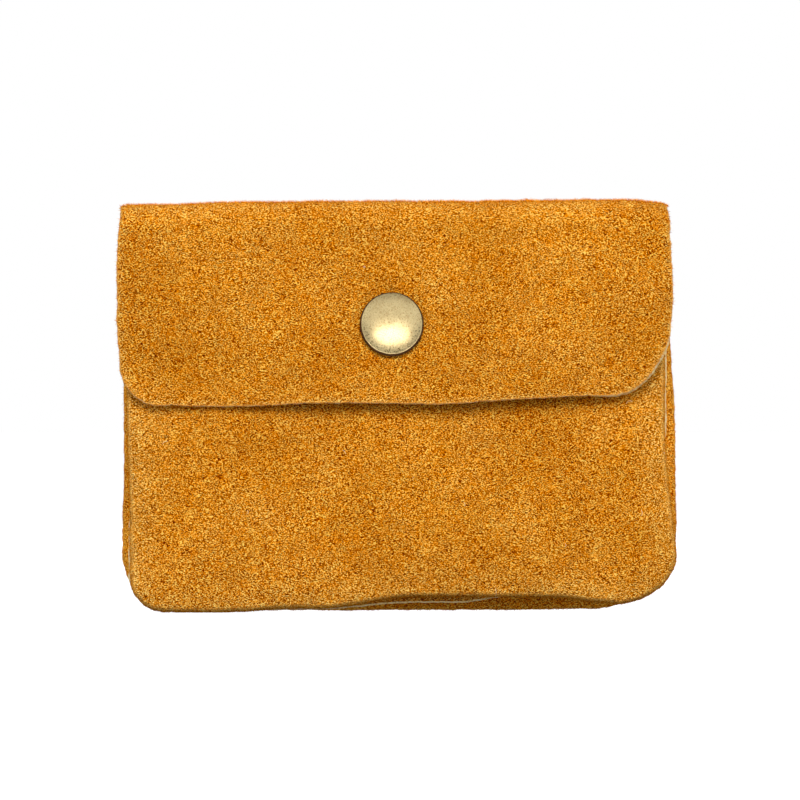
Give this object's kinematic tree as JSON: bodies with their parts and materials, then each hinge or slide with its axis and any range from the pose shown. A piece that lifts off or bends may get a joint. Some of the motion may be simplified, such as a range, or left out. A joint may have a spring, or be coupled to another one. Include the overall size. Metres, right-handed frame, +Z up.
{
  "type": "snap purse",
  "caption": "Small suede purse of two flat bags with a zipped coin pocket between them and a fold-over flap held by a domed snap.",
  "frame": {"origin": "middle of the bounding box's bottom: the surface that the purse stands on, half way across its width and depth", "axes": "+X along the width, to the right seen from the front; -Y out of the front, where the flap and the snap are; +Z up"},
  "size_m": [0.1094, 0.0264, 0.0809],
  "materials": {
    "suede": "matte",
    "thread": "matte",
    "tape": "matte",
    "antique_brass": "satin"
  },
  "bodies": {
    "root": {"back_panel": "suede", "front_panel": "suede", "front_divider": "suede", "rear_divider": "suede", "coin_gusset": "suede", "front_seam_thread": "thread", "back_seam_thread": "thread", "zip_stitching": "thread", "zip_tape_front": "tape", "zip_tape_rear": "tape", "zip_teeth_front": "antique_brass", "zip_teeth_rear": "antique_brass", "zip_top_stops": "antique_brass", "zip_bottom_stop": "antique_brass", "snap_stud": "antique_brass", "snap_post": "antique_brass"},
    "top_fold": {"top_fold": "suede"},
    "flap": {"flap": "suede", "snap_cap": "antique_brass", "snap_socket": "antique_brass", "snap_spring": "antique_brass"},
    "zip_slider": {"zip_slider": "antique_brass"},
    "zip_pull": {"zip_pull": "antique_brass"}
  },
  "joints": [
    {"name": "spine_fold", "type": "hinge", "parent": "root", "child": "top_fold", "pos_m": [0, 0.01265, 0.08035], "axis": [-1, 0, 0], "range_deg": [0, 60]},
    {"name": "flap_fold", "type": "hinge", "parent": "top_fold", "child": "flap", "pos_m": [0, -0.01075, 0.08035], "axis": [-1, 0, 0], "range_deg": [0, 120], "deforming": ["snap_spring"]},
    {"name": "zip_slide", "type": "slide", "parent": "root", "child": "zip_slider", "axis": [-1, 0, 0], "range_m": [0, 0.08], "deforming": ["zip_teeth_front", "zip_teeth_rear"]},
    {"name": "pull_swing", "type": "hinge", "parent": "zip_slider", "child": "zip_pull", "pos_m": [0.0406, 0.0029, 0.0691], "axis": [0, 1, 0], "range_deg": [0, 180]}
  ],
  "couplings": [
    {"joint": "flap_fold", "follows": "spine_fold", "ratio": 2}
  ]
}
